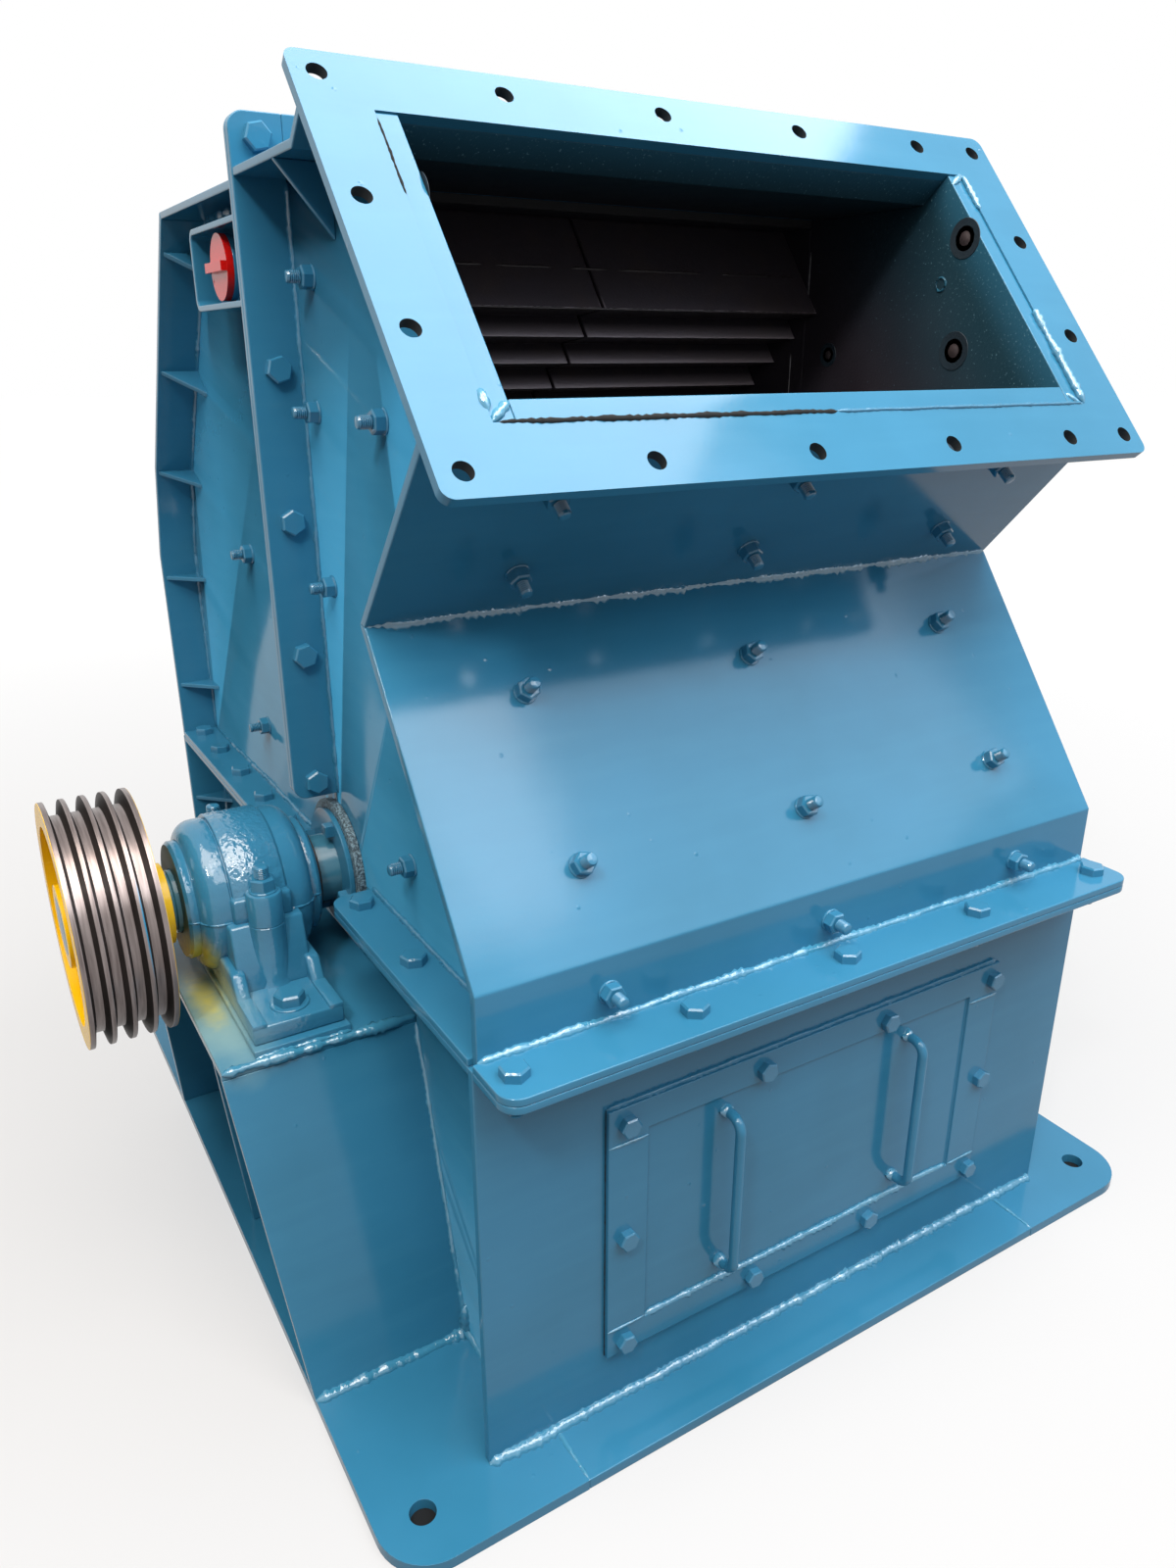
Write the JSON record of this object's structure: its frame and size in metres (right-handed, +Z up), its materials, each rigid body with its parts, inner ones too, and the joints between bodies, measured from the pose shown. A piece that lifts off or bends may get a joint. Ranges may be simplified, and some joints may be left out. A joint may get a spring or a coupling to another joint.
{
  "type": "coal crusher",
  "caption": "Welded hammer crusher for coal with a sloped feed flange, split housing, belt-driven rotor in plummer blocks, inspection cover and drilled base.",
  "frame": {"origin": "middle of the base's underside, centred between the four anchor holes", "axes": "+X along the rotor shaft away from the pulley, -Y towards the feed side, +Z up"},
  "size_m": [1.5335, 1.492, 1.596],
  "materials": {
    "housing_paint": "glossy brushed enamel",
    "bearing_paint": "glossy enamel on a casting",
    "packing": "fibrous, overpainted",
    "signal_red": "glossy",
    "liner_steel": "dull, dusty",
    "shaft_steel": "turned",
    "rotor_steel": "dull mill scale",
    "pulley_iron": "turned rim, painted web"
  },
  "bodies": {
    "housing": {"base_end_bars": "housing_paint", "base_side_plates": "housing_paint", "bearing_bases": "bearing_paint", "bearing_caps": "bearing_paint", "bearing_pads": "housing_paint", "breaker_plates": "liner_steel", "chute_floor_liner": "liner_steel", "cover_handles": "housing_paint", "feed_flange": "housing_paint", "front_split_side_bars": "housing_paint", "front_split_top_bar": "housing_paint", "hood_front_plate": "housing_paint", "hood_left_wall": "housing_paint", "hood_right_wall": "housing_paint", "hood_roof": "housing_paint", "hood_side_liners": "liner_steel", "hood_throat_plate": "housing_paint", "inspection_cover": "housing_paint", "lower_flange_ends": "housing_paint", "lower_flange_sides": "housing_paint", "lower_front_wall": "housing_paint", "lower_gussets": "housing_paint", "lower_left_wall": "housing_paint", "lower_rear_wall": "housing_paint", "lower_right_wall": "housing_paint", "pedestal_end_plates": "housing_paint", "pedestal_tops": "housing_paint", "pedestal_webs": "housing_paint", "port_cover": "signal_red", "port_guard": "housing_paint", "port_neck": "housing_paint", "rear_cover": "housing_paint", "rear_gussets": "housing_paint", "rear_left_wall": "housing_paint", "rear_right_wall": "housing_paint", "rear_roof": "housing_paint", "rear_side_liners": "liner_steel", "rear_split_side_bars": "housing_paint", "rear_split_top_bar": "housing_paint", "roof_gussets": "housing_paint", "shaft_packings": "packing", "shaft_seal_plates": "housing_paint", "slope_liner": "liner_steel", "upper_flange_ends": "housing_paint", "upper_flange_sides": "housing_paint"},
    "rotor": {"rotor_shaft": "shaft_steel", "rotor_discs": "rotor_steel", "hammers": "rotor_steel", "hammer_pins": "rotor_steel", "drive_pulley": "pulley_iron"}
  },
  "joints": [
    {"name": "rotor_spin", "type": "hinge", "parent": "housing", "child": "rotor", "pos_m": [0, -0.083, 0.596], "axis": [1, 0, 0], "continuous": true}
  ]
}
